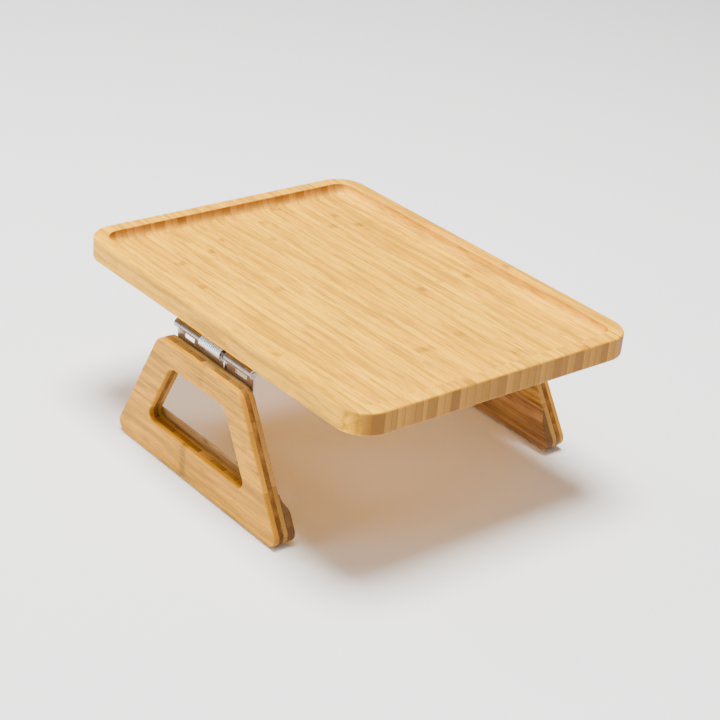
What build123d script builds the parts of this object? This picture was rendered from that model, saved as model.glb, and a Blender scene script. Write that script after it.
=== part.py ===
from build123d import *
import math
import os

os.makedirs("parts", exist_ok=True)

# Sofa arm tray: a bamboo tray board laid across an armrest, with a sprung folding leg on each side.
# Millimetres. Origin at the centre of the board's underside, +X along the board, +Z up.
# Each side is built at -Y, in the frame of its hinge pin: X along the pin, +Y towards the armrest.

# Tray board
tray_length = 330
tray_width = 250
tray_thickness = 17
tray_corner_radius = 23
tray_edge_radius = 2
rim_width = 11.5
recess_depth = 8.5
recess_corner_radius = 12
recess_cove_radius = 7.2
rim_edge_radius = 0.9

# Leg plate: a trapezoid of three plies with a trapezoid window
leg_top_width = 98.5
leg_bottom_width = 206
leg_height = 99
leg_top_corner_radius = 12
leg_bottom_corner_radius = 8
ply_thickness = 4
outer_edge_radius = 1.2
inner_edge_chamfer = 0.6
top_rail_height = 18.5
bottom_rail_height = 27.2
side_rail_width = 26.2
window_top_corner_radius = 9
window_bottom_corner_radius = 6

# Grip strip: the bar along the leg's lower edge that presses on the armrest
grip_thickness = 5.5
grip_height = 34
grip_full_height = 20
grip_upper_edge = 0.5
grip_corner_radius = 4.5
grip_ease_share = 0.45

# Hinge: two rolled leaves on one pin, with a coil spring in the middle, set a little off centre
hinge_shift = 3.5
pin_inset = 4.8
pin_drop = 5.8
pin_radius = 1.95
pin_projection = 0.7
pin_end_chamfer = 0.5
running_clearance = 0.05
leaf_thickness = 1.5
leaf_reach = 26
leaf_corner_radius = 3
plate_drop = 11
coil_space = 29.8
inner_knuckle_width = 9.9
middle_knuckle_width = 12.9
outer_knuckle_width = 7.8
knuckle_gap = 0.3
neck_radius = 1
seam_angle = 60
tongue_slope = 35
tongue_bend_radius = 1
middle_notch_depth = 9.2
coil_notch_depth = 7.6
tray_notch_depth = 7.2

# Countersunk screws
screw_head_radius = 3
screw_shank_radius = 1.5
screw_length = 8
screw_clearance = 0.05
screw_row = 19
screw_spacing = 36

# Torsion spring
wire_radius = 0.8
wire_sides = 6
coil_radius = 4.35
coil_turns = 12
coil_start = -13.7
coil_end = 11.7
upper_arm_depth = 4
upper_arm_hole_clearance = 0.15
leg_arm_shift = 1.3
leg_arm_bend_height = 7
leg_arm_end_height = 10.4
leg_arm_seat_gap = 0.05
path_samples = 24

# Angle of each leg from the vertical, towards the armrest
left_leg_tilt = 0.7
right_leg_tilt = -5.4

# How far cutting shapes run past what they cut
overrun = 1

# Largest share of its wall that a rounding may take
rounding_share = 0.48
cove_share = 0.86
rim_edge_share = 0.75
grip_corner_share = 0.9

# Worked out from the sizes above
pin_place = tray_width / 2 - pin_inset
bore_radius = pin_radius + running_clearance
knuckle_radius = bore_radius + leaf_thickness
inner_knuckle_start = coil_space / 2
inner_knuckle_end = inner_knuckle_start + inner_knuckle_width
middle_knuckle_end = inner_knuckle_end + middle_knuckle_width
hinge_half_length = middle_knuckle_end + outer_knuckle_width
side_slope = (leg_bottom_width - leg_top_width) / 2 / leg_height
plate_bottom = plate_drop + leg_height


def clipped(radius, room, share=rounding_share):
    """A rounding radius, held to a share of the wall that carries it."""
    return min(radius, room * share)


def spans(start, end):
    """The same stretch of the pin on both halves of the hinge."""
    return [(-end, -start), (start, end)]


def slab(x_range, y_range, z_range):
    """A block between two values on each axis."""
    x0, x1 = x_range
    y0, y1 = y_range
    z0, z1 = z_range
    block = Box(x1 - x0, y1 - y0, z1 - z0, align=(Align.MIN, Align.MIN, Align.MIN))
    return Pos(x0, y0, z0) * block


def along_pin(profile, x_range):
    """A profile in (Y, Z), run along the pin between two places."""
    start, end = x_range
    return Pos(start, 0, 0) * extrude(Plane.YZ * profile, amount=end - start)


def plate_half_width(height_below_top):
    """Half the width of the leg plate at a height below its top edge."""
    return leg_top_width / 2 + side_slope * height_below_top


def trapezoid(top_half, bottom_half, top, bottom, top_radius, bottom_radius):
    """A trapezoid below the pin in (X, Z), with its own radius for each pair of corners."""
    outline = Polyline(
        (-top_half, -top),
        (top_half, -top),
        (bottom_half, -bottom),
        (-bottom_half, -bottom),
        close=True,
    )
    face = make_face(outline)
    face = fillet(face.vertices().group_by(Axis.Y)[-1], top_radius)
    return fillet(face.vertices().group_by(Axis.Y)[0], bottom_radius)


def leg_outline():
    """The outline of the leg plate and of the strip's ends."""
    return trapezoid(
        leg_top_width / 2,
        leg_bottom_width / 2,
        plate_drop,
        plate_bottom,
        leg_top_corner_radius,
        leg_bottom_corner_radius,
    )


def window_outline():
    """The window, with its sides parallel to the plate's."""
    bottom = leg_height - bottom_rail_height
    return trapezoid(
        plate_half_width(top_rail_height) - side_rail_width,
        plate_half_width(bottom) - side_rail_width,
        plate_drop + top_rail_height,
        plate_drop + bottom,
        window_top_corner_radius,
        window_bottom_corner_radius,
    )


def screw_shape(extra=0):
    """A countersunk screw pointing up from the face of its head, grown by a clearance."""
    profile = Polyline(
        (0, 0),
        (screw_head_radius + extra, 0),
        (screw_shank_radius + extra, leaf_thickness),
        (screw_shank_radius + extra, screw_length + extra),
        (0, screw_length + extra),
        close=True,
    )
    return revolve(make_face(Plane.XZ * profile), axis=Axis.Z)


def screw_hole():
    """The space that a screw needs, open above its head."""
    mouth = Cylinder(
        screw_head_radius + screw_clearance, overrun, align=(Align.CENTER, Align.CENTER, Align.MAX)
    )
    return screw_shape(screw_clearance) + mouth


def screw_places():
    """The three screws of a leaf along the pin."""
    return [-screw_spacing, 0, screw_spacing]


def in_tray_leaf(shape):
    """A screw or its hole, three times, up through the tray leaf."""
    level = pin_drop - leaf_thickness
    return [Pos(x, screw_row, level) * shape for x in screw_places()]


def in_leg_leaf(shape):
    """A screw or its hole, three times, outward through the leg leaf."""
    turned = Rot(90, 0, 0) * shape
    return [Pos(x, leaf_thickness, -screw_row) * turned for x in screw_places()]


def cut_all(body, tools):
    """A body less each of a list of shapes."""
    for tool in tools:
        body = body - tool
    return body


def on_hinge(shape):
    """From the middle of the hinge to the middle of the leg, along the pin."""
    return Pos(hinge_shift, 0, 0) * shape


def at_left(shape):
    """From the frame of the pin to the object's, on the -Y side."""
    return Pos(0, -pin_place, -pin_drop) * shape


def at_right(shape):
    """The same on the +Y side: the hinge turned half round about Z."""
    return Rot(0, 0, 180) * at_left(shape)


def upper_arm_hole():
    """The blind hole in the board that takes the spring's upper arm."""
    hole = Cylinder(
        wire_radius + upper_arm_hole_clearance,
        upper_arm_depth + upper_arm_hole_clearance + overrun,
        align=(Align.CENTER, Align.CENTER, Align.MIN),
    )
    return Pos(coil_start, coil_radius, pin_drop - overrun) * hole


def tray_board():
    """The board: rounded plan, routed recess with a coved floor, eased edges all round."""
    floor = tray_thickness - recess_depth
    board = extrude(RectangleRounded(tray_length, tray_width, tray_corner_radius), tray_thickness)
    hollow = RectangleRounded(
        tray_length - 2 * rim_width, tray_width - 2 * rim_width, recess_corner_radius
    )
    board = board - Pos(0, 0, floor) * extrude(hollow, recess_depth + overrun)
    cove = clipped(recess_cove_radius, min(recess_depth, recess_corner_radius), cove_share)
    board = fillet(board.edges().filter_by_position(Axis.Z, floor, floor), cove)
    rim = board.faces().sort_by(Axis.Z)[-1]
    rim_radius = clipped(rim_edge_radius, recess_depth - cove, rim_edge_share)
    board = fillet(rim.inner_wires()[0].edges(), rim_radius)
    edge = clipped(tray_edge_radius, tray_thickness)
    rim = board.faces().sort_by(Axis.Z)[-1]
    board = fillet(rim.outer_wire().edges(), edge)
    board = fillet(board.faces().sort_by(Axis.Z)[0].edges(), edge)
    holes = [on_hinge(hole) for hole in in_tray_leaf(screw_hole()) + [upper_arm_hole()]]
    board = cut_all(board, [at_left(hole) for hole in holes])
    return cut_all(board, [at_right(hole) for hole in holes])


def leg_ply(number):
    """One ply of the plate, counted from the armrest side, with its window and screw holes."""
    blank = leg_outline() - window_outline()
    ply = Pos(0, -number * ply_thickness, 0) * extrude(Plane.XZ * blank, amount=ply_thickness)
    if number == 0:
        inner_face = ply.faces().sort_by(Axis.Y)[-1]
        ply = chamfer(inner_face.edges(), clipped(inner_edge_chamfer, ply_thickness))
    if number == 2:
        outer_face = ply.faces().sort_by(Axis.Y)[0]
        ply = fillet(outer_face.edges(), clipped(outer_edge_radius, ply_thickness))
    return cut_all(ply, [on_hinge(hole) for hole in in_leg_leaf(screw_hole())])


def grip_strip():
    """The strip: an eased upper edge, a full lower part and a rounded lower corner."""
    top = plate_bottom - grip_height
    full = plate_bottom - grip_full_height
    ease = (full - top) * grip_ease_share
    swell = Bezier(
        (grip_upper_edge, -top),
        (grip_upper_edge, -top - ease),
        (grip_thickness, -full + ease),
        (grip_thickness, -full),
    )
    rest = Polyline(
        (grip_thickness, -full),
        (grip_thickness, -plate_bottom),
        (0, -plate_bottom),
        (0, -top),
        (grip_upper_edge, -top),
    )
    profile = make_face(swell.edges() + rest.edges())
    corner = profile.vertices().group_by(Axis.Y)[0].sort_by(Axis.X)[-1]
    profile = fillet(corner, clipped(grip_corner_radius, grip_thickness, grip_corner_share))
    bar = along_pin(profile, (-leg_bottom_width / 2, leg_bottom_width / 2))
    ends = extrude(Plane.XZ * leg_outline(), amount=-grip_thickness)
    return bar & ends


def leg_knuckle_profile():
    """Rolled edge of the leg leaf: up the plate, out round a neck and over the pin to a seam."""
    reach = knuckle_radius + neck_radius
    neck_height = math.sqrt(reach**2 - neck_radius**2)
    neck_angle = math.degrees(math.atan2(neck_height, neck_radius))
    neck = (-neck_radius, -neck_height)
    roll = 180 + neck_angle + seam_angle
    outer_face = Line((0, -middle_notch_depth), (0, -neck_height))
    neck_out = CenterArc(neck, neck_radius, 0, neck_angle)
    roll_out = CenterArc((0, 0), knuckle_radius, 180 + neck_angle, -roll)
    roll_in = CenterArc((0, 0), bore_radius, -seam_angle, roll)
    seam = Line(roll_out @ 1, roll_in @ 0)
    neck_in = CenterArc(neck, neck_radius + leaf_thickness, neck_angle, -neck_angle)
    inner_face = Line(neck_in @ 1, (leaf_thickness, -middle_notch_depth))
    foot = Line(inner_face @ 1, outer_face @ 0)
    return make_face([outer_face, neck_out, roll_out, seam, roll_in, neck_in, inner_face, foot])


def leg_leaf():
    """Leaf on the leg: a flat plate with three notches in its upper edge and four knuckles."""
    sheet = RectangleRounded(
        2 * hinge_half_length, leaf_reach + leaf_corner_radius, leaf_corner_radius
    )
    sheet = Pos(0, (leaf_corner_radius - leaf_reach) / 2) * sheet
    leaf = extrude(Plane.XZ * sheet, amount=-leaf_thickness)
    across = (-overrun, leaf_thickness + overrun)
    above = leaf_corner_radius + overrun
    half = hinge_half_length + overrun
    leaf = leaf - slab((-half, half), across, (-middle_notch_depth, above))
    rib = slab(
        (-inner_knuckle_end, inner_knuckle_end),
        (0, leaf_thickness),
        (-middle_notch_depth - overrun, -coil_notch_depth),
    )
    leaf = leaf + rib
    profile = leg_knuckle_profile()
    inner = (inner_knuckle_start, inner_knuckle_end - knuckle_gap / 2)
    outer = (middle_knuckle_end + knuckle_gap / 2, hinge_half_length)
    for stretch in spans(*inner) + spans(*outer):
        leaf = leaf + along_pin(profile, stretch)
    return cut_all(leaf, in_leg_leaf(screw_hole()))


def tongue_start():
    """Where the tray leaf's tongue starts to slope, from the pin towards the armrest."""
    slope = math.radians(tongue_slope)
    centre_height = pin_drop - leaf_thickness - tongue_bend_radius
    return (centre_height * math.cos(slope) - bore_radius + tongue_bend_radius) / math.sin(slope)


def tray_knuckle_profile(flat_end):
    """Rolled edge of the tray leaf: flat, sloping down to the pin and round under it to a seam."""
    slope = math.radians(tongue_slope)
    lower = pin_drop - leaf_thickness
    bend = (tongue_start(), lower - tongue_bend_radius)
    first = 90 + tongue_slope
    roll = 360 + seam_angle - first
    upper_flat = Line((flat_end, pin_drop), (bend[0], pin_drop))
    bend_out = CenterArc(bend, tongue_bend_radius + leaf_thickness, 90, tongue_slope)
    roll_out = CenterArc((0, 0), knuckle_radius, first, roll)
    slope_out = Line(bend_out @ 1, roll_out @ 0)
    roll_in = CenterArc((0, 0), bore_radius, seam_angle, -roll)
    seam = Line(roll_out @ 1, roll_in @ 0)
    bend_in = CenterArc(bend, tongue_bend_radius, first, -tongue_slope)
    slope_in = Line(roll_in @ 1, bend_in @ 0)
    lower_flat = Line(bend_in @ 1, (flat_end, lower))
    end = Line(lower_flat @ 1, upper_flat @ 0)
    return make_face(
        [upper_flat, bend_out, slope_out, roll_out, seam, roll_in, slope_in, bend_in, lower_flat, end]
    )


def tray_leaf():
    """Leaf on the board: flat, cut back round the coil, with two tongues rolled round the pin."""
    front = tongue_start()
    length = leaf_reach - front
    sheet = RectangleRounded(
        2 * hinge_half_length, length + leaf_corner_radius, leaf_corner_radius
    )
    middle = front + (length - leaf_corner_radius) / 2
    leaf = Pos(0, middle, pin_drop - leaf_thickness) * extrude(sheet, leaf_thickness)
    half = hinge_half_length + overrun
    levels = (pin_drop - leaf_thickness - overrun, pin_drop + overrun)
    leaf = leaf - slab((-half, half), (front - leaf_corner_radius - overrun, front), levels)
    leaf = leaf - slab((-inner_knuckle_start, inner_knuckle_start), (0, tray_notch_depth), levels)
    profile = tray_knuckle_profile(front + overrun)
    stretch = (inner_knuckle_end + knuckle_gap / 2, middle_knuckle_end - knuckle_gap / 2)
    for place in spans(*stretch):
        leaf = leaf + along_pin(profile, place)
    return cut_all(leaf, in_tray_leaf(screw_hole()))


def hinge_pin():
    """The pin, with chamfered ends that show past the outer knuckles."""
    length = 2 * (hinge_half_length + pin_projection)
    pin = Rot(0, 90, 0) * Cylinder(pin_radius, length)
    ends = pin.edges().filter_by(GeomType.CIRCLE)
    return chamfer(ends, clipped(pin_end_chamfer, pin_radius))


def biarc(start, start_way, end, end_way):
    """Two arcs that join two points and leave and arrive along given directions."""
    gap = end - start
    ways = start_way + end_way
    square = gap.dot(gap)
    along = gap.dot(ways)
    reach = square / (along + math.sqrt(along**2 + 2 * (1 - start_way.dot(end_way)) * square))
    joint = (start + start_way * reach + end - end_way * reach) * 0.5
    first = Edge.make_tangent_arc(start, start_way, joint)
    second = Edge.make_tangent_arc(joint, (joint - start - start_way * reach).normalized(), end)
    return [first, second]


def spring_path(tilt):
    """Centre line of the wire: arm in the board, coil round the pin, arm on the leg leaf."""
    sweep_angle = -math.radians(360 * coil_turns - tilt)
    steps = 2 * coil_turns
    rise = (coil_end - coil_start) / sweep_angle
    points = []
    ways = []
    for step in range(steps + 1):
        angle = sweep_angle * step / steps
        x = coil_start + (coil_end - coil_start) * step / steps
        points.append(Vector(x, coil_radius * math.cos(angle), coil_radius * math.sin(angle)))
        way = Vector(rise, -coil_radius * math.sin(angle), coil_radius * math.cos(angle))
        ways.append((way * -1).normalized())
    down = Vector(0, 0, -1)
    leg_down = down.rotate(Axis.X, tilt)
    ways[0] = down
    ways[-1] = leg_down
    arm_top = points[0] + Vector(0, 0, pin_drop + upper_arm_depth)
    path = [Edge.make_line(arm_top, points[0])]
    for step in range(steps):
        path += biarc(points[step], ways[step], points[step + 1], ways[step + 1])
    seat = -wire_radius - leg_arm_seat_gap
    arm_place = coil_end + leg_arm_shift
    bend = Vector(arm_place, seat, -leg_arm_bend_height).rotate(Axis.X, tilt)
    tip = Vector(arm_place, seat, -leg_arm_end_height).rotate(Axis.X, tilt)
    path += biarc(points[-1], ways[-1], bend, leg_down)
    path.append(Edge.make_line(bend, tip))
    return Wire(path)


def least_gap(path):
    """Least clear distance between stretches of the wire that are half a turn or more apart."""
    count = path_samples * coil_turns
    step = path.length / count
    points = [path @ (number / count) for number in range(count + 1)]
    apart = math.ceil(math.pi * coil_radius / step)
    nearest = path.length
    for first in range(len(points)):
        for second in range(first + apart, len(points)):
            nearest = min(nearest, (points[first] - points[second]).length)
    return nearest - 2 * wire_radius


def torsion_spring(tilt):
    """The spring, one unbroken wire from the board to the leg leaf."""
    path = spring_path(tilt)
    print("spring, least gap to itself:", round(least_gap(path), 3), "mm")
    section = Plane(origin=path @ 0, z_dir=path % 0) * RegularPolygon(wire_radius, wire_sides)
    return sweep(section, path=path)


def write(name, shape):
    """One STEP file for one sub-part."""
    export_step(shape, "parts/" + name + ".step")


write("tray_board", tray_board())

for side, place, tilt in [("left", at_left, left_leg_tilt), ("right", at_right, right_leg_tilt)]:
    lean = Rot(tilt, 0, 0)
    write(side + "_tray_leaf", place(on_hinge(tray_leaf())))
    write(side + "_hinge_pin", place(on_hinge(hinge_pin())))
    write(side + "_torsion_spring", place(on_hinge(torsion_spring(tilt))))
    screws = [place(on_hinge(screw)) for screw in in_tray_leaf(screw_shape())]
    write(side + "_tray_screws", Compound(screws))
    write(side + "_leg_inner_ply", place(lean * leg_ply(0)))
    write(side + "_leg_core_ply", place(lean * leg_ply(1)))
    write(side + "_leg_outer_ply", place(lean * leg_ply(2)))
    write(side + "_grip_strip", place(lean * grip_strip()))
    write(side + "_leg_leaf", place(on_hinge(lean * leg_leaf())))
    screws = [place(on_hinge(lean * screw)) for screw in in_leg_leaf(screw_shape())]
    write(side + "_leg_screws", Compound(screws))
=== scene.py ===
import math

import bmesh
import bpy
from mathutils import Matrix, Vector


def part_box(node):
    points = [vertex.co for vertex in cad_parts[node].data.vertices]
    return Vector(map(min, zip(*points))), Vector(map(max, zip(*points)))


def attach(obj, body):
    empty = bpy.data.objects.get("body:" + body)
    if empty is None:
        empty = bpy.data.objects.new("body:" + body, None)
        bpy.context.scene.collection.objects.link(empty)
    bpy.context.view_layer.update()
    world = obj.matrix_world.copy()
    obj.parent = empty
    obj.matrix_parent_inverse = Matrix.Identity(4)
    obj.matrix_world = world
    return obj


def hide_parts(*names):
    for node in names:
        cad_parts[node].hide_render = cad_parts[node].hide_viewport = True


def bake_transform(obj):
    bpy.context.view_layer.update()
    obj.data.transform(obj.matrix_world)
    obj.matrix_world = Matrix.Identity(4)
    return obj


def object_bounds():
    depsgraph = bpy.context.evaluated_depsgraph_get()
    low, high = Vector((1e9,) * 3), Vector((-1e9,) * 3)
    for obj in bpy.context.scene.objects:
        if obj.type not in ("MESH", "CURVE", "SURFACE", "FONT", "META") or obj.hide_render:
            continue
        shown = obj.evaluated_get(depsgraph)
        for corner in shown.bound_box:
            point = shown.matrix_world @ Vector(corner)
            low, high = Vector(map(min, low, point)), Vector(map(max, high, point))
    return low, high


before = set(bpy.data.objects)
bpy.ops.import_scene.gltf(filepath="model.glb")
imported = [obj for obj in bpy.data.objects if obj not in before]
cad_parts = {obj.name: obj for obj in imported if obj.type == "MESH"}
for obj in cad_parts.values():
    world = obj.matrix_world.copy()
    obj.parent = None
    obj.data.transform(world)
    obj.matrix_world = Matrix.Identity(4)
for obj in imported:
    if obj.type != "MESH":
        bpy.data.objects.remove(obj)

cad_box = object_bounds()


# Tray board: solid bamboo, glued from narrow upright strips that run along the board.
# It is planed, routed for the recess, sanded and given a thin clear satin lacquer.
# The fibres show as long streaks and short dashes on top and as dots on the sawn ends.
def linear(code):
    """An sRGB hex colour as the linear colour that a shader socket takes."""
    channels = []
    for start in (0, 2, 4):
        value = int(code[start:start + 2], 16) / 255
        channels.append(value / 12.92 if value <= 0.04045 else ((value + 0.055) / 1.055) ** 2.4)
    return (*channels, 1)


def add(tree, kind, inputs=None, **settings):
    """Adds a node with its settings, its constants and the links into it."""
    made = tree.nodes.new(kind)
    for name, value in settings.items():
        setattr(made, name, value)
    for key, value in (inputs or {}).items():
        if isinstance(value, bpy.types.NodeSocket):
            tree.links.new(value, made.inputs[key])
        else:
            made.inputs[key].default_value = value
    return made


def surface(name):
    """A new material with one principled shader, as (material, tree, shader)."""
    material = bpy.data.materials.new(name)
    material.use_nodes = True
    tree = material.node_tree
    tree.nodes.clear()
    shader = add(tree, "ShaderNodeBsdfPrincipled")
    add(tree, "ShaderNodeOutputMaterial", {"Surface": shader.outputs["BSDF"]})
    return material, tree, shader


def dress(node, material):
    """Gives a CAD node one material in all its slots."""
    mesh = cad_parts[node].data
    if not mesh.materials:
        mesh.materials.append(material)
    for index in range(len(mesh.materials)):
        mesh.materials[index] = material


def bamboo(
    name, grain_way, width_way, strip, seed,
    pale, light, dark, fibre, knot, end_light, end_dark, end_seam,
):
    """Lacquered bamboo strips, with the grain along grain_way and side by side on width_way."""
    material, tree, shader = surface(name)
    turned = Matrix((grain_way, width_way, grain_way.cross(width_way))).to_euler()
    place = add(tree, "ShaderNodeTexCoord")
    grain = add(tree, "ShaderNodeMapping", {
        "Vector": place.outputs["Object"], "Rotation": turned,
        "Location": (seed, seed * 0.37, seed * 0.11),
    })
    facing = add(tree, "ShaderNodeMapping", {
        "Vector": place.outputs["Normal"], "Rotation": turned,
    }, vector_type="VECTOR")
    spot = add(tree, "ShaderNodeSeparateXYZ", {"Vector": grain.outputs["Vector"]})
    side = add(tree, "ShaderNodeSeparateXYZ", {"Vector": facing.outputs["Vector"]})

    # Strips of uneven width, each with its own tone, and the glue line of 0.3 mm between them.
    unevenness = 0.8
    glue_half_width = 0.00015
    glue_fades_out = 0.0005
    own_shift = 0.7
    across = add(tree, "ShaderNodeMath", {
        0: spot.outputs["Y"], 1: 1 / strip,
    }, operation="MULTIPLY")
    cell = add(tree, "ShaderNodeTexVoronoi", {
        "W": across.outputs[0], "Scale": 1, "Randomness": unevenness,
    }, voronoi_dimensions="1D", feature="F1")
    edge = add(tree, "ShaderNodeTexVoronoi", {
        "W": across.outputs[0], "Scale": 1, "Randomness": unevenness,
    }, voronoi_dimensions="1D", feature="DISTANCE_TO_EDGE")
    own = add(tree, "ShaderNodeSeparateColor", {"Color": cell.outputs["Color"]})
    seam = add(tree, "ShaderNodeMapRange", {
        "Value": edge.outputs["Distance"],
        "From Min": glue_half_width / strip, "From Max": glue_fades_out / strip,
        "To Min": 1, "To Max": 0,
    })
    slid = add(tree, "ShaderNodeMath", {
        0: own.outputs["Red"], 1: own_shift, 2: spot.outputs["X"],
    }, operation="MULTIPLY_ADD")
    along = add(tree, "ShaderNodeCombineXYZ", {
        "X": slid.outputs[0], "Y": spot.outputs["Y"], "Z": spot.outputs["Z"],
    })

    # Clouds of tone 90 x 14 mm, streaks 60 x 4.5 mm and fibre bundles 14 x 1 mm.
    patterns = {}
    for key, length, width, detail in (
        ("cloud", 0.09, 0.014, 2), ("streak", 0.06, 0.0045, 3), ("bundle", 0.014, 0.001, 1),
    ):
        sized = add(tree, "ShaderNodeVectorMath", {
            0: along.outputs["Vector"], 1: (1 / length, 1 / width, 1 / width),
        }, operation="MULTIPLY")
        patterns[key] = add(tree, "ShaderNodeTexNoise", {
            "Vector": sized.outputs["Vector"], "Scale": 1, "Detail": detail,
        }).outputs["Fac"]

    # A culm node crosses each strip every 280 mm, at its own place: a broken smear some 8 mm
    # long, whose line wavers by a share of that spacing.
    node_spacing = 0.28
    node_core = 0.0005
    node_reach = 0.006
    node_waver = 0.006
    knot_turn = add(tree, "ShaderNodeMath", {
        0: spot.outputs["X"], 1: 1 / node_spacing, 2: own.outputs["Green"],
    }, operation="MULTIPLY_ADD")
    waved = add(tree, "ShaderNodeMath", {
        0: patterns["bundle"], 1: node_waver, 2: knot_turn.outputs[0],
    }, operation="MULTIPLY_ADD")
    within = add(tree, "ShaderNodeMath", {0: waved.outputs[0]}, operation="FRACT")
    from_knot = add(tree, "ShaderNodeMath", {
        0: within.outputs[0], 1: 0.5,
    }, operation="SUBTRACT")
    knot_gap = add(tree, "ShaderNodeMath", {0: from_knot.outputs[0]}, operation="ABSOLUTE")
    knot_band = add(tree, "ShaderNodeMapRange", {
        "Value": knot_gap.outputs[0],
        "From Min": node_core / node_spacing, "From Max": node_reach / node_spacing,
        "To Min": 1, "To Max": 0,
    }, interpolation_type="SMOOTHSTEP")
    broken = add(tree, "ShaderNodeMapRange", {
        "Value": patterns["bundle"], "From Min": 0.4, "From Max": 0.62,
        "To Min": 0.25, "To Max": 1,
    })
    knot_strength = add(tree, "ShaderNodeMath", {
        0: broken.outputs["Result"], 1: own.outputs["Blue"],
    }, operation="MULTIPLY")
    knot_amount = add(tree, "ShaderNodeMath", {
        0: knot_band.outputs[0], 1: knot_strength.outputs[0],
    }, operation="MULTIPLY")

    # The long grain: the strip's tone under streaks, fibre bundles, culm nodes and glue lines.
    # Each layer's row gives where its pattern starts, where it is full, and its most strength.
    # Each strip darkens towards the side that was the culm's skin.
    off_centre = add(tree, "ShaderNodeMath", {
        0: across.outputs[0], 1: cell.outputs["W"],
    }, operation="SUBTRACT")
    skin = add(tree, "ShaderNodeMapRange", {
        "Value": off_centre.outputs[0], "From Min": -0.5, "From Max": 0.6,
    })
    tone = add(tree, "ShaderNodeMath", {
        0: own.outputs["Blue"], 1: 0.6, 2: patterns["cloud"],
    }, operation="MULTIPLY_ADD")
    toned = add(tree, "ShaderNodeMapRange", {
        "Value": tone.outputs[0], "From Min": 0.5, "From Max": 1.0,
    })
    colour = add(tree, "ShaderNodeMix", {
        0: toned.outputs["Result"], 6: linear(light), 7: linear(dark),
    }, data_type="RGBA").outputs[2]
    for amount, low, high, most, layer in (
        (skin.outputs["Result"], 0.3, 1, 0.3, fibre),
        (patterns["streak"], 0.48, 0.62, 0.85, fibre),
        (patterns["streak"], 0.44, 0.3, 0.8, pale),
        (patterns["bundle"], 0.56, 0.7, 0.5, knot),
        (knot_amount.outputs[0], 0.03, 0.6, 0.75, knot),
        (seam.outputs["Result"], 0, 1, 0.25, knot),
    ):
        share = add(tree, "ShaderNodeMapRange", {
            "Value": amount, "From Min": low, "From Max": high, "To Max": most,
        })
        colour = add(tree, "ShaderNodeMix", {
            0: share.outputs["Result"], 6: colour, 7: linear(layer),
        }, data_type="RGBA").outputs[2]

    # The sawn ends: each strip's own darker tone, with the bundles cut across as 0.9 mm dots,
    # coarser than real ones so that they show.
    dot_size = 0.0009
    dot_length = 0.05
    end_colour = add(tree, "ShaderNodeMix", {
        0: own.outputs["Green"], 6: linear(end_light), 7: linear(end_dark),
    }, data_type="RGBA").outputs[2]
    cut_across = add(tree, "ShaderNodeVectorMath", {
        0: along.outputs["Vector"], 1: (1 / dot_length, 1 / dot_size, 1 / dot_size),
    }, operation="MULTIPLY")
    dots = add(tree, "ShaderNodeTexVoronoi", {
        "Vector": cut_across.outputs["Vector"], "Scale": 1,
    }, feature="F1")
    for amount, low, high, first, last in (
        (skin.outputs["Result"], 0.2, 1, 0, 0.45),
        (dots.outputs["Distance"], 0.15, 0.5, 0.45, 0),
        (seam.outputs["Result"], 0, 1, 0, end_seam),
    ):
        share = add(tree, "ShaderNodeMapRange", {
            "Value": amount, "From Min": low, "From Max": high, "To Min": first, "To Max": last,
        })
        end_colour = add(tree, "ShaderNodeMix", {
            0: share.outputs["Result"], 6: end_colour, 7: linear(knot),
        }, data_type="RGBA").outputs[2]
    end_on = add(tree, "ShaderNodeMath", {0: side.outputs["X"]}, operation="ABSOLUTE")
    ended = add(tree, "ShaderNodeMapRange", {
        "Value": end_on.outputs[0], "From Min": 0.45, "From Max": 0.9,
    })
    whole = add(tree, "ShaderNodeMix", {
        0: ended.outputs["Result"], 6: colour, 7: end_colour,
    }, data_type="RGBA")
    tree.links.new(whole.outputs[2], shader.inputs["Base Color"])

    # Satin lacquer, duller on the ends where it soaks in, with the grain faintly felt.
    end_dulling = 0.14
    grain_height = 0.0001
    gloss = add(tree, "ShaderNodeMapRange", {
        "Value": patterns["streak"],
        "From Min": 0.3, "From Max": 0.7, "To Min": 0.36, "To Max": 0.46,
    })
    dulled = add(tree, "ShaderNodeMath", {
        0: ended.outputs["Result"], 1: end_dulling, 2: gloss.outputs["Result"],
    }, operation="MULTIPLY_ADD")
    tree.links.new(dulled.outputs[0], shader.inputs["Roughness"])
    felt = add(tree, "ShaderNodeMath", {
        0: patterns["bundle"], 1: seam.outputs["Result"],
    }, operation="SUBTRACT")
    bump = add(tree, "ShaderNodeBump", {
        "Height": felt.outputs[0], "Strength": 0.2, "Distance": grain_height,
    })
    tree.links.new(bump.outputs["Normal"], shader.inputs["Normal"])
    shader.inputs["IOR"].default_value = 1.5
    shader.inputs["Specular IOR Level"].default_value = 0.1
    shader.inputs["Coat Weight"].default_value = 0.08
    shader.inputs["Coat Roughness"].default_value = 0.15
    return material


along_board = Vector((1, 0, 0))
across_board = Vector((0, 1, 0))
board_strip = 0.0065
board_seed = 1.3
board_bamboo = bamboo(
    "lacquered bamboo board", along_board, across_board, board_strip, board_seed,
    pale="FFBE04", light="FEB802", dark="EEA402", fibre="C48A02", knot="8E600C",
    end_light="C48A36", end_dark="845622", end_seam=0.8,
)
dress("tray_board", board_bamboo)


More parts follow.
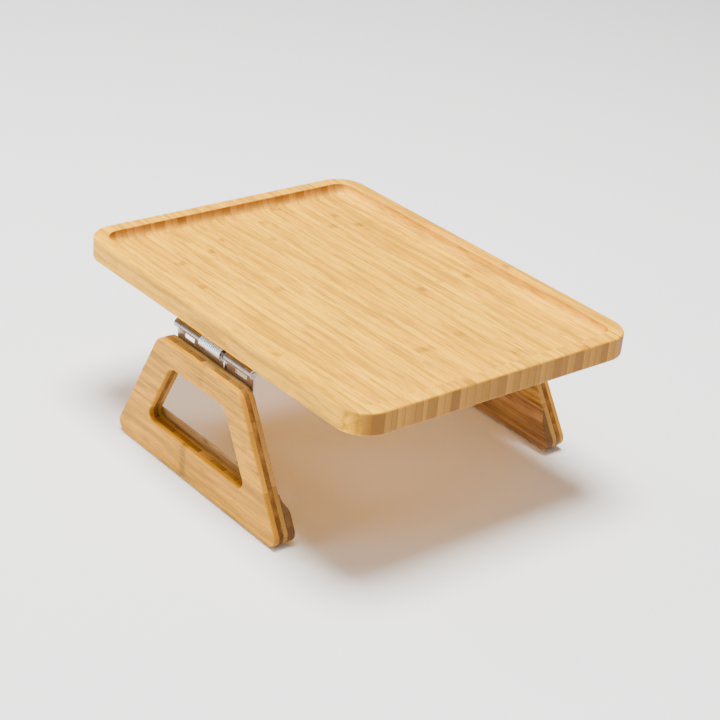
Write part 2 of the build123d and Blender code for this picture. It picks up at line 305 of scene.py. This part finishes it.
# Hinge leaves: nickel-plated sheet steel, 1.5 mm thick, stamped and rolled into knuckles.
# The plating is smooth, with the faint straight lines that the rolled sheet had before it.
def plated_steel(name, colour, roughness, lines):
    """Bright plated steel, with straight drawn lines along X."""
    material, tree, shader = surface(name)
    place = add(tree, "ShaderNodeTexCoord")
    drawn = add(tree, "ShaderNodeVectorMath", {
        0: place.outputs["Object"], 1: lines,
    }, operation="MULTIPLY")
    line = add(tree, "ShaderNodeTexNoise", {
        "Vector": drawn.outputs["Vector"], "Scale": 1, "Detail": 2,
    })
    rough = add(tree, "ShaderNodeMapRange", {
        "Value": line.outputs["Fac"], "From Min": 0.3, "From Max": 0.7,
        "To Min": roughness * 0.8, "To Max": roughness * 1.25,
    })
    tree.links.new(rough.outputs["Result"], shader.inputs["Roughness"])
    bump = add(tree, "ShaderNodeBump", {
        "Height": line.outputs["Fac"], "Strength": 0.1, "Distance": 0.00002,
    })
    tree.links.new(bump.outputs["Normal"], shader.inputs["Normal"])
    shader.inputs["Base Color"].default_value = linear(colour)
    shader.inputs["Metallic"].default_value = 1
    return material


# Drawn lines 12 mm long and 0.25 mm wide, a little wider than real ones so that they show.
leaf_steel = plated_steel("nickel-plated sheet steel", "A0948C", 0.3, (80, 4000, 4000))
for side in ("left", "right"):
    dress(side + "_tray_leaf", leaf_steel)
    dress(side + "_leg_leaf", leaf_steel)


# Hinge pins: plated steel rod through the six knuckles of each hinge, cut and chamfered.
# The cut ends are the duller part that shows.
pin_steel = plated_steel("plated steel rod", "98908A", 0.32, (80, 3000, 3000))
for side in ("left", "right"):
    dress(side + "_hinge_pin", pin_steel)


# Torsion springs: one bright plated wire wound twelve times round the pin.
# One arm stands in a hole in the board, the other is bent down onto the leg's leaf.
wire_radius = 0.0008
wire_sides = 16
coil_radius = 0.00435
coil_turns = 12
coil_start = -0.0137
coil_end = 0.0117
steps_a_turn = 28
upper_arm_length = 0.0098
leg_arm_shift = 0.0013
leg_arm_seat = -0.00085
leg_arm_bend_height = 0.007
leg_arm_end_height = 0.0104
leg_arm_steps = 8
leg_tilts = {"left": 0.7, "right": -5.4}
merge_distance = 0.000001

# Drawn wire: lines 3 mm long and 0.2 mm wide across the coil, which runs round the pin.
wire_steel = plated_steel("bright plated spring wire", "E9F0F6", 0.36, (5000, 330, 330))


def keep(shape, name, material):
    """Turns a bmesh into an object of the scene, with outward faces and one material."""
    bmesh.ops.remove_doubles(shape, verts=shape.verts, dist=merge_distance)
    bmesh.ops.recalc_face_normals(shape, faces=shape.faces)
    mesh = bpy.data.meshes.new(name)
    shape.to_mesh(mesh)
    shape.free()
    mesh.materials.append(material)
    piece = bpy.data.objects.new(name, mesh)
    bpy.context.collection.objects.link(piece)
    return piece


def onto_side(side):
    """From the frame of a hinge's pin to the object's, half round about Z on the right."""
    low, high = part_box("left_hinge_pin")
    pin = Matrix.Translation((low + high) / 2)
    return pin if side == "left" else Matrix.Rotation(math.pi, 4, "Z") @ pin


def spring(side):
    """The wire: the ring of its section is spun round the pin, and both ends are drawn out."""
    tilt = math.radians(leg_tilts[side])
    lean = Matrix.Rotation(tilt, 4, "X")
    shape = bmesh.new()
    bmesh.ops.create_circle(
        shape, segments=wire_sides, radius=wire_radius,
        matrix=Matrix.Translation((coil_start, coil_radius, 0)),
    )
    first = list(shape.edges)
    sweep = tilt - math.tau * coil_turns
    steps = coil_turns * steps_a_turn
    wound = bmesh.ops.spin(
        shape, geom=first, cent=(0, 0, 0), axis=(1, 0, 0), angle=sweep, steps=steps,
        dvec=((coil_end - coil_start) / steps, 0, 0), use_merge=False,
    )
    last = [item for item in wound["geom_last"] if isinstance(item, bmesh.types.BMEdge)]

    # The upper arm: the first ring drawn straight up.
    up = bmesh.ops.extrude_edge_only(shape, edges=first)["geom"]
    bmesh.ops.translate(
        shape, verts=[item for item in up if isinstance(item, bmesh.types.BMVert)],
        vec=(0, 0, upper_arm_length),
    )
    bmesh.ops.holes_fill(
        shape, edges=[item for item in up if isinstance(item, bmesh.types.BMEdge)], sides=0
    )

    # The leg arm: two equal bends, from the coil outward to the leaf's face, then straight down.
    down = lean.to_3x3() @ Vector((0, 0, -1))
    start = lean @ Vector((0, coil_radius, 0)) + Vector((coil_end, 0, 0))
    bend_end = lean @ Vector((0, leg_arm_seat, -leg_arm_bend_height))
    bend_end += Vector((coil_end + leg_arm_shift, 0, 0))
    offset = bend_end - start
    height = offset.dot(down)
    sideways = offset - down * height
    bend = 2 * math.atan(sideways.length / height)
    bend_radius = height / 2 / math.sin(bend)
    aside = sideways.normalized()
    turning = down.cross(aside)
    first_centre = start + aside * bend_radius
    middle = start + offset / 2
    for centre, angle in ((first_centre, bend), (2 * middle - first_centre, -bend)):
        wound = bmesh.ops.spin(
            shape, geom=last, cent=centre, axis=turning, angle=angle,
            steps=leg_arm_steps, use_merge=False,
        )
        last = [item for item in wound["geom_last"] if isinstance(item, bmesh.types.BMEdge)]
    tail = bmesh.ops.extrude_edge_only(shape, edges=last)["geom"]
    bmesh.ops.translate(
        shape, verts=[item for item in tail if isinstance(item, bmesh.types.BMVert)],
        vec=down * (leg_arm_end_height - leg_arm_bend_height),
    )
    bmesh.ops.holes_fill(
        shape, edges=[item for item in tail if isinstance(item, bmesh.types.BMEdge)], sides=0
    )
    bmesh.ops.transform(shape, matrix=onto_side(side), verts=shape.verts)
    # The wire's four-sided faces are smooth, and its two cut ends stay flat.
    piece = keep(shape, side + "_spring_wire", wire_steel)
    for face in piece.data.polygons:
        face.use_smooth = len(face.vertices) == 4
    return piece


for side in ("left", "right"):
    wire = spring(side)
    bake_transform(wire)
    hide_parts(side + "_torsion_spring")


# Countersunk screws: plated steel with a cross recess, three through each leaf into the bamboo.
# The heads lie flush in the leaf, each stopped at its own turn of the driver.
head_radius = 0.003
shank_radius = 0.0015
head_depth = 0.0015
screw_length = 0.008
point_length = 0.0025
recess_reach = 0.0016
recess_half_width = 0.0004
recess_depth = 0.0011
recess_taper = 0.55
head_sides = 24
point_share = 0.15
driver_first = 0.4
driver_step = 0.9
screw_spacing = 0.036
screw_row = 0.019
leaf_thickness = 0.0015
pin_drop = 0.0058
screw_steel = plated_steel("plated screw steel", "C9C8C4", 0.26, (900, 900, 900))


def screw(shape, matrix):
    """One screw, its head's face at the origin of matrix and its point along -Z."""
    grid = bmesh.ops.create_grid(shape, x_segments=3, y_segments=3, size=recess_reach)
    made = list(grid["verts"])
    for vert in made:
        for axis in (0, 1):
            if abs(vert.co[axis]) < recess_reach / 2:
                vert.co[axis] = math.copysign(recess_half_width, vert.co[axis])
    faces = {face for vert in made for face in vert.link_faces}
    corners = [
        face for face in faces
        if min(abs(value) for value in face.calc_center_median()[:2]) > recess_half_width
    ]
    bmesh.ops.delete(shape, geom=corners, context="FACES")
    made = [vert for vert in made if vert.is_valid]
    faces = list({face for vert in made for face in vert.link_faces})
    cross = [edge for edge in {e for f in faces for e in f.edges} if len(edge.link_faces) == 1]
    sunk = bmesh.ops.extrude_face_region(shape, geom=faces)["geom"]
    bottom = [item for item in sunk if isinstance(item, bmesh.types.BMVert)]
    bmesh.ops.scale(shape, verts=bottom, vec=(recess_taper, recess_taper, 1))
    bmesh.ops.translate(shape, verts=bottom, vec=(0, 0, -recess_depth))
    bmesh.ops.delete(shape, geom=[face for face in faces if face.is_valid], context="FACES_ONLY")
    made += bottom
    rim = bmesh.ops.create_circle(shape, segments=head_sides, radius=head_radius)["verts"]
    made += rim
    ring = list({edge for vert in rim for edge in vert.link_edges})
    bmesh.ops.triangle_fill(
        shape, edges=ring + [edge for edge in cross if edge.is_valid],
        use_beauty=True, normal=(0, 0, 1),
    )
    for radius, depth in (
        (shank_radius, head_depth),
        (shank_radius, screw_length - point_length),
        (shank_radius * point_share, screw_length),
    ):
        drawn = bmesh.ops.extrude_edge_only(shape, edges=ring)["geom"]
        ring = [item for item in drawn if isinstance(item, bmesh.types.BMEdge)]
        ends = [item for item in drawn if isinstance(item, bmesh.types.BMVert)]
        made += ends
        current = ends[0].co.xy.length
        share = radius / current
        bmesh.ops.scale(shape, verts=ends, vec=(share, share, 1))
        bmesh.ops.translate(shape, verts=ends, vec=(0, 0, -depth - ends[0].co.z))
    bmesh.ops.holes_fill(shape, edges=ring, sides=0)
    bmesh.ops.transform(shape, matrix=matrix, verts=made)


for side in ("left", "right"):
    head_down = Matrix.Rotation(math.pi, 4, "X")
    head_inward = Matrix.Rotation(-math.pi / 2, 4, "X")
    lean = Matrix.Rotation(math.radians(leg_tilts[side]), 4, "X")
    for node, body, height, depth, facing, turned in (
        ("_tray_screws", "tray", screw_row, pin_drop - leaf_thickness, head_down, Matrix()),
        ("_leg_screws", side + "_leg", leaf_thickness, -screw_row, head_inward, lean),
    ):
        shape = bmesh.new()
        for number in (-1, 0, 1):
            place = Matrix.Translation((number * screw_spacing, height, depth))
            driven = Matrix.Rotation(driver_step * number + driver_first, 4, "Z")
            screw(shape, onto_side(side) @ turned @ place @ facing @ driven)
        heads = keep(shape, side + node.replace("screws", "screw_set"), screw_steel)
        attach(heads, body)
        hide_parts(side + node)


# Leg plates: each is a trapezoid sawn from a board of three cross-laid bamboo plies.
# Face plies have their grain along the tray, the darker steamed core has it upright.
# The same satin lacquer covers faces and edges.
face_ply_strip = 0.034
core_ply_strip = 0.017
leg_seeds = {"left": 4.7, "right": 8.9}
inner_seed_step = 2.1
core_seed_step = 3.3


def leg_upright(side):
    """The way up along a leg's plate, in the rest pose."""
    tilt = math.radians(leg_tilts[side])
    return Vector((0, math.sin(-tilt if side == "left" else tilt), math.cos(tilt)))


for side in ("left", "right"):
    upright = leg_upright(side)
    seed = leg_seeds[side]
    dress(side + "_leg_outer_ply", bamboo(
        side + " outer bamboo ply", along_board, upright, face_ply_strip, seed,
        pale="E8A408", light="DE9A06", dark="CC8C06", fibre="A67406", knot="785210",
        end_light="CC8E2E", end_dark="B67A26", end_seam=0.3,
    ))
    dress(side + "_leg_inner_ply", bamboo(
        side + " inner bamboo ply", along_board, upright, face_ply_strip,
        seed + inner_seed_step,
        pale="CA9A54", light="C09248", dark="AE823C", fibre="8E662C", knot="6A4A1E",
        end_light="C09248", end_dark="A67A3A", end_seam=0.3,
    ))
    dress(side + "_leg_core_ply", bamboo(
        side + " steamed bamboo core", upright, along_board, core_ply_strip,
        seed + core_seed_step,
        pale="946832", light="885C2C", dark="785024", fibre="5C3C1A", knot="462C12",
        end_light="B67C30", end_dark="84541C", end_seam=0.8,
    ))


# Grip strips: a planed bamboo bar glued to the inner face along the leg's lower edge.
# It is rounded above and below, and lacquered as the plies are; its darker colours are painted
# shade.
grip_strip_width = 0.008
grip_seeds = {"left": 2.9, "right": 6.4}
for side in ("left", "right"):
    dress(side + "_grip_strip", bamboo(
        side + " bamboo grip strip in painted shade", along_board, leg_upright(side), grip_strip_width,
        grip_seeds[side],
        # Painted shade: these colours are darker than the plies', and the two end colours are
        # darkest.
        pale="BA8E54", light="AE824C", dark="9C7242", fibre="7E5A34", knot="604428",
        end_light="82603C", end_dark="6C4E30", end_seam=0.5,
    ))


# Floor: plain pale card that runs out of the picture, just below the legs.
floor_gap = 0.0005
floor_size = 40
floor_tooth_height = 0.0002
floor_card, floor_tree, floor_shader = surface("pale studio card")
floor_place = add(floor_tree, "ShaderNodeTexCoord")
floor_tooth = add(floor_tree, "ShaderNodeTexNoise", {
    "Vector": floor_place.outputs["Object"], "Scale": 900, "Detail": 2,
})
floor_bump = add(floor_tree, "ShaderNodeBump", {
    "Height": floor_tooth.outputs["Fac"], "Strength": 0.03, "Distance": floor_tooth_height,
})
floor_tree.links.new(floor_bump.outputs["Normal"], floor_shader.inputs["Normal"])
floor_shader.inputs["Base Color"].default_value = linear("F7F7F6")
floor_shader.inputs["Roughness"].default_value = 0.8
floor_shape = bmesh.new()
bmesh.ops.create_grid(
    floor_shape, x_segments=1, y_segments=1, size=floor_size / 2,
    matrix=Matrix.Translation((0, 0, cad_box[0][2] - floor_gap)),
)
floor = keep(floor_shape, "floor", floor_card)

# Light: a white room, a broad soft lamp overhead, a low one before the long side that faces the
# camera, a small one on the left for the edges' shine and a weak one on the right.
room_strength = 0.28
room = bpy.data.worlds.new("white room")
bpy.context.scene.world = room
room.use_nodes = True
room.node_tree.nodes["Background"].inputs["Color"].default_value = linear("FFFFFF")
room.node_tree.nodes["Background"].inputs["Strength"].default_value = room_strength
for name, place, size, power in (
    ("top lamp", (0.0, -0.05, 2.0), 1.0, 125),
    ("front lamp", (-0.5, -1.8, 0.4), 1.0, 20),
    ("left lamp", (-1.3, -0.55, 1.3), 0.35, 12),
    ("right lamp", (1.5, -0.9, 0.9), 1.2, 4),
):
    lamp_data = bpy.data.lights.new(name, "AREA")
    lamp_data.shape = "DISK"
    lamp_data.size = size
    lamp_data.energy = power
    lamp = bpy.data.objects.new(name, lamp_data)
    lamp.location = place
    lamp.rotation_euler = Vector(place).to_track_quat("Z", "Y").to_euler()
    bpy.context.collection.objects.link(lamp)

# Camera: it stands a little over a metre from the near corner of the board, and looks down on it.
# It is rolled a few degrees on its own axis, as the photograph's was.
camera_turn = math.radians(48.917)
camera_rise = math.radians(26.987)
camera_roll = math.radians(5.444)
camera_distance = 1.3158
picture_right = 0.005825
picture_up = -0.057336
picture_field = math.radians(22.239)
board_top = Vector((0, 0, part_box("tray_board")[1].z))
backward = Vector((
    math.sin(camera_turn) * math.cos(camera_rise),
    -math.cos(camera_turn) * math.cos(camera_rise),
    math.sin(camera_rise),
))
level = Vector((math.cos(camera_turn), math.sin(camera_turn), 0))
steep = backward.cross(level)
rightward = level * math.cos(camera_roll) + steep * math.sin(camera_roll)
upward = steep * math.cos(camera_roll) - level * math.sin(camera_roll)
camera_data = bpy.data.cameras.new("camera")
camera_data.sensor_width = 36
camera_data.lens = camera_data.sensor_width / 2 / math.tan(picture_field / 2)
camera_data.clip_start = 0.05
camera = bpy.data.objects.new("camera", camera_data)
bpy.context.collection.objects.link(camera)
camera_place = board_top + rightward * picture_right + upward * picture_up
camera_place += backward * camera_distance
camera_axes = Matrix((rightward, upward, backward)).transposed().to_4x4()
camera.matrix_world = Matrix.Translation(camera_place) @ camera_axes
bpy.context.scene.camera = camera
